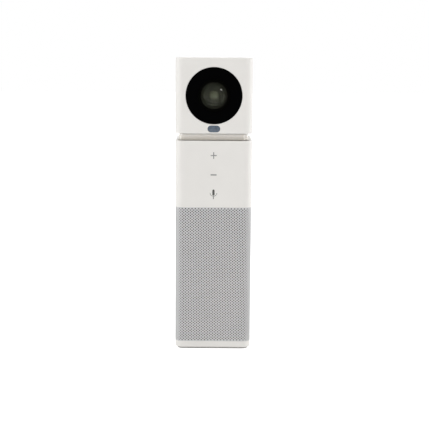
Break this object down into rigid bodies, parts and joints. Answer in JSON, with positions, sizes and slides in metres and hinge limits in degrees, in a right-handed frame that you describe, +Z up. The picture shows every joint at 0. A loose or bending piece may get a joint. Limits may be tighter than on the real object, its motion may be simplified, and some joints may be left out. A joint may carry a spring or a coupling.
{
  "type": "conference camera",
  "caption": "Upright tabletop conference camera: square speaker tower with touch signs, and a cube camera head that turns on a narrow neck.",
  "frame": {"origin": "centre of the foot pad's underside, on the table", "axes": "+Z up the tower; -Y is the front, with the lens and the touch signs; +X to the right seen from the front"},
  "size_m": [0.064, 0.064, 0.2468],
  "materials": {
    "white_plastic": "fine satin moulded",
    "neck_plastic": "fine satin moulded",
    "dark_plastic": "matt moulded",
    "gloss_black": "polished",
    "satin_black": "satin",
    "grey_ink": "matt inlay",
    "slate_window": "smoked translucent",
    "grille_metal": "satin powder coat",
    "black_cloth": "open acoustic weave",
    "foot_rubber": "matt",
    "steel": "zinc plated",
    "black_metal": "black anodised",
    "bare_aluminium": "as pressed",
    "board_green": "solder mask",
    "lens_glass": "coated",
    "filter_glass": "coated",
    "magnet_black": "ferrite",
    "paper_cone": "pressed pulp",
    "spider_cloth": "impregnated",
    "soft_rubber": "matt",
    "copper": "enamelled winding",
    "lead_film": "polyimide film",
    "cable_jacket": "matt",
    "bearing_plastic": "acetal",
    "washer_fibre": "vulcanised fibre",
    "sensor_black": "silicon under glass"
  },
  "bodies": {
    "tower": {"foot_pad": "foot_rubber", "base_cap": "white_plastic", "tie_screws": "steel", "grille": "grille_metal", "grille_cloth": "black_cloth", "upper_shell": "white_plastic", "volume_up_sign": "grey_ink", "volume_down_sign": "grey_ink", "microphone_sign": "grey_ink", "touch_board": "board_green", "main_board": "board_green", "main_heat_sink": "black_metal", "board_screws": "steel", "camera_cable": "cable_jacket", "microphone_board": "board_green", "microphones": "steel", "speaker_box": "dark_plastic", "speaker_box_cover": "dark_plastic", "speaker_screws": "steel", "speaker_frame": "steel", "speaker_magnet": "magnet_black", "speaker_yoke": "steel", "speaker_spider": "spider_cloth", "speaker_surround": "soft_rubber", "port_panel": "white_plastic", "port_board": "board_green", "usb_socket": "steel", "power_switch": "dark_plastic", "power_lead": "lead_film", "pan_bush": "bearing_plastic", "friction_washer": "washer_fibre"},
    "head": {"pan_spindle": "bare_aluminium", "retaining_clip": "steel", "stop_pin": "steel", "neck_collar": "neck_plastic", "head_base_plate": "dark_plastic", "head_screws": "steel", "plate_screws": "steel", "head_shell": "white_plastic", "camera_cover": "gloss_black", "lens_bezel": "satin_black", "lens_ring": "satin_black", "lens_barrel": "black_metal", "front_lens": "lens_glass", "middle_lens": "lens_glass", "rear_lens": "lens_glass", "lens_mount": "dark_plastic", "infrared_filter": "filter_glass", "image_sensor": "sensor_black", "camera_board": "board_green", "camera_board_screws": "steel", "camera_bracket": "bare_aluminium", "camera_heat_sink": "black_metal", "status_window": "slate_window", "status_board": "board_green", "cable_plug": "satin_black"},
    "cone": {"speaker_cone": "paper_cone", "voice_coil": "copper", "dust_cap": "paper_cone"},
    "button": {"power_button": "white_plastic"}
  },
  "joints": [
    {"name": "head_pan", "type": "hinge", "parent": "tower", "child": "head", "pos_m": [0, 0, 0.1787], "axis": [0, 0, 1], "range_deg": [-165, 165]},
    {"name": "cone_travel", "type": "slide", "parent": "tower", "child": "cone", "axis": [0, -1, 0], "range_m": [-0.0008, 0.0008], "stiffness_N_per_m": 800, "deforming": ["speaker_surround", "speaker_spider"]},
    {"name": "button_press", "type": "slide", "parent": "tower", "child": "button", "axis": [0, -1, 0], "range_m": [0, 0.0006], "stiffness_N_per_m": 2500, "springref_m": -0.0002}
  ]
}
